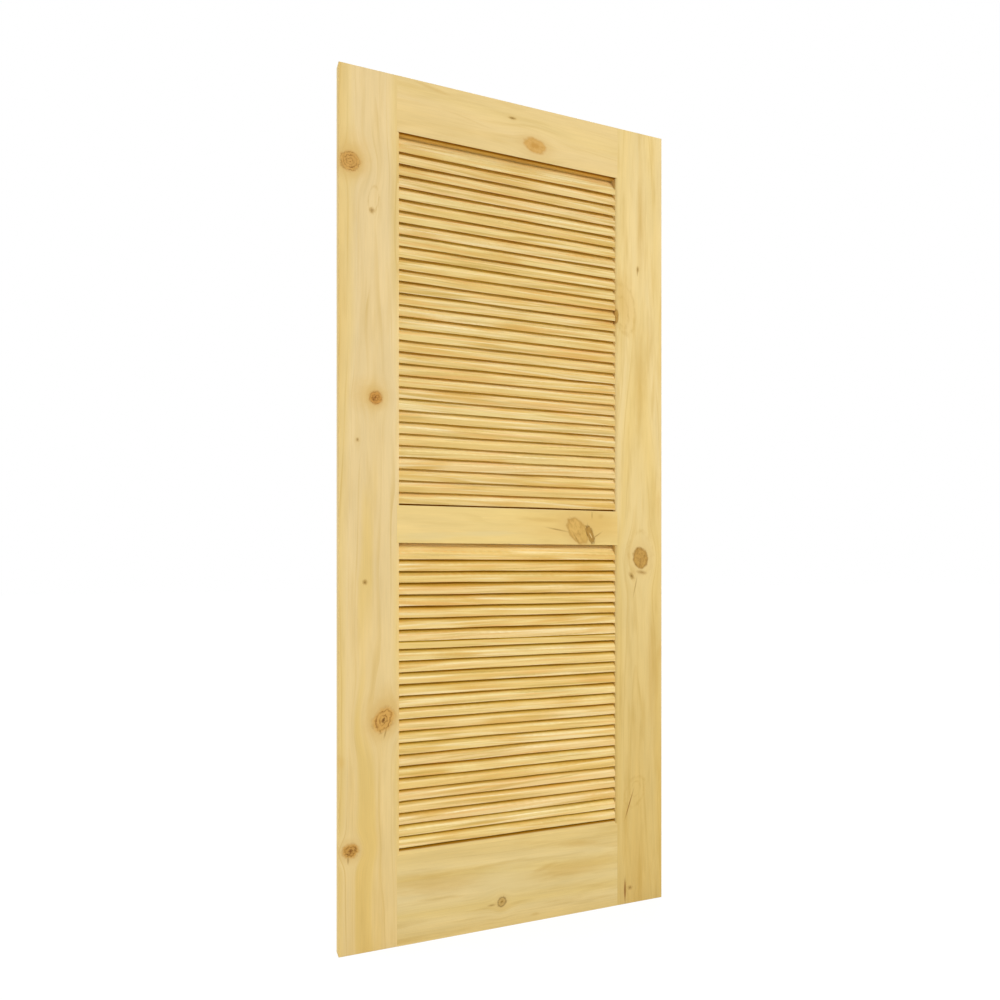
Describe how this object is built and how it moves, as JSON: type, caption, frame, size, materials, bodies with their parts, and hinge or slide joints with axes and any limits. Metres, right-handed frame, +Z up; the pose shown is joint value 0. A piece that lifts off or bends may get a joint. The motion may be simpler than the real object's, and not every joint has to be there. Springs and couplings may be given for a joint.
{
  "type": "louvred door",
  "caption": "Bare pine door leaf with stiles, a top, middle and bottom rail, and two fields of fixed sloping louvre slats for air and privacy.",
  "frame": {"origin": "foot of the hinge edge, at mid thickness of the leaf", "axes": "+X across the leaf from the hinge edge to the lock edge, front face towards -Y, +Z up"},
  "size_m": [0.8, 0.035, 2],
  "materials": {
    "stile_pine": "bare planed and sanded pine",
    "rail_pine": "bare planed and sanded pine",
    "slat_pine": "bare planed pine, more golden than the frame"
  },
  "bodies": {
    "root": {"left_stile": "stile_pine", "right_stile": "stile_pine", "top_rail": "rail_pine", "middle_rail": "rail_pine", "bottom_rail": "rail_pine", "upper_slats_01": "slat_pine", "upper_slats_02": "slat_pine", "upper_slats_03": "slat_pine", "upper_slats_04": "slat_pine", "upper_slats_05": "slat_pine", "upper_slats_06": "slat_pine", "upper_slats_07": "slat_pine", "upper_slats_08": "slat_pine", "upper_slats_09": "slat_pine", "upper_slats_10": "slat_pine", "upper_slats_11": "slat_pine", "upper_slats_12": "slat_pine", "upper_slats_13": "slat_pine", "upper_slats_14": "slat_pine", "upper_slats_15": "slat_pine", "upper_slats_16": "slat_pine", "lower_slats_01": "slat_pine", "lower_slats_02": "slat_pine", "lower_slats_03": "slat_pine", "lower_slats_04": "slat_pine", "lower_slats_05": "slat_pine", "lower_slats_06": "slat_pine", "lower_slats_07": "slat_pine", "lower_slats_08": "slat_pine", "lower_slats_09": "slat_pine", "lower_slats_10": "slat_pine", "lower_slats_11": "slat_pine", "lower_slats_12": "slat_pine", "lower_slats_13": "slat_pine"}
  },
  "joints": []
}
